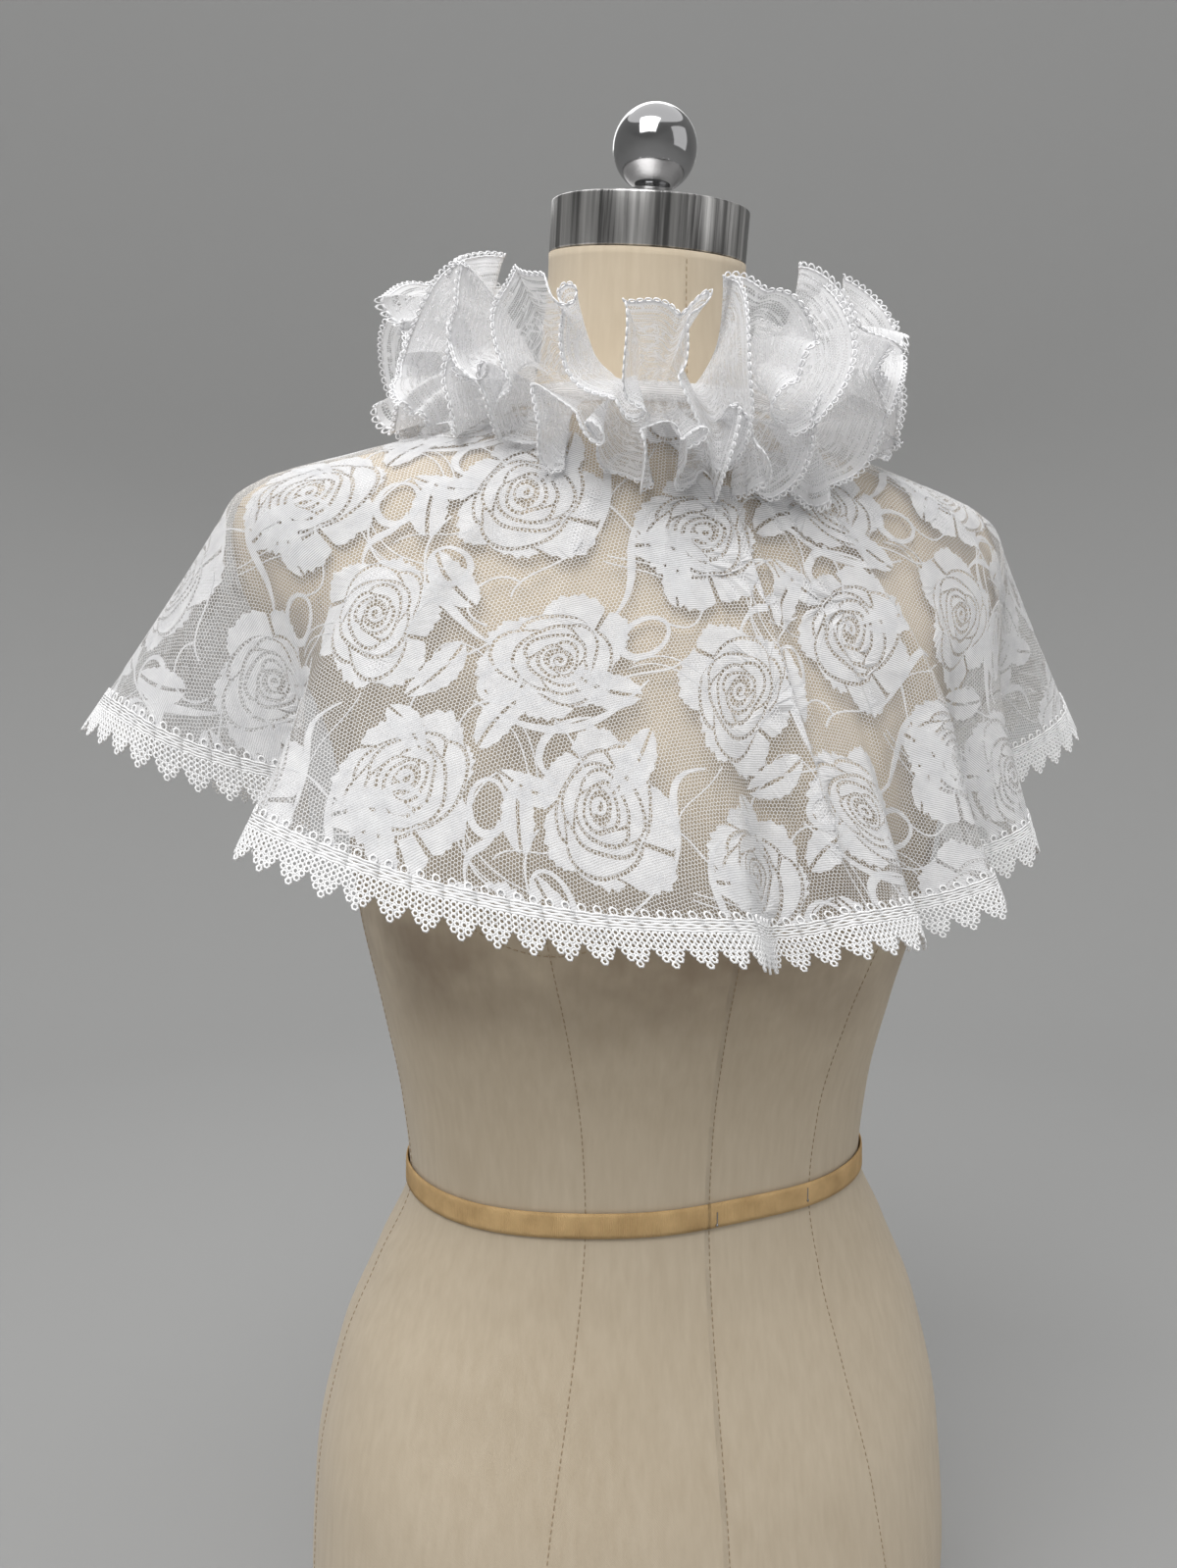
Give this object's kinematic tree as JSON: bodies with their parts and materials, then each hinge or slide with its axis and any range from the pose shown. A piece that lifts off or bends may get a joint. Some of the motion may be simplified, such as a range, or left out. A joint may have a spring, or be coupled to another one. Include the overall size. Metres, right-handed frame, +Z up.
{
  "type": "lace capelet on a limbless dress form",
  "caption": "Circular rose-lace shoulder capelet with a guipure-edged hem and a double ruffled lace collar, worn on a limbless linen dress form.",
  "frame": {"origin": "centre of the dress form's flat underside", "axes": "+Z up, the form faces -Y, +X towards the form's left side"},
  "size_m": [0.5515, 0.3485, 0.8386],
  "materials": {
    "linen": "fine plain-weave linen in warm beige, matt",
    "steel": "turned and brushed steel cap",
    "chrome": "polished ball finial",
    "tape": "tan cotton twill tape",
    "rose_lace": "white rose lace on a fine hexagonal net",
    "guipure": "bright white cotton guipure edging",
    "frill_lace": "fine silky white lace with a picot edge"
  },
  "bodies": {
    "root": {"form_torso": "linen", "neck_cap": "steel", "finial": "chrome", "waist_tape": "tape", "cape_body": "rose_lace", "hem_trim": "guipure", "neckband": "frill_lace", "upper_frill": "frill_lace", "lower_frill": "frill_lace"}
  },
  "joints": []
}
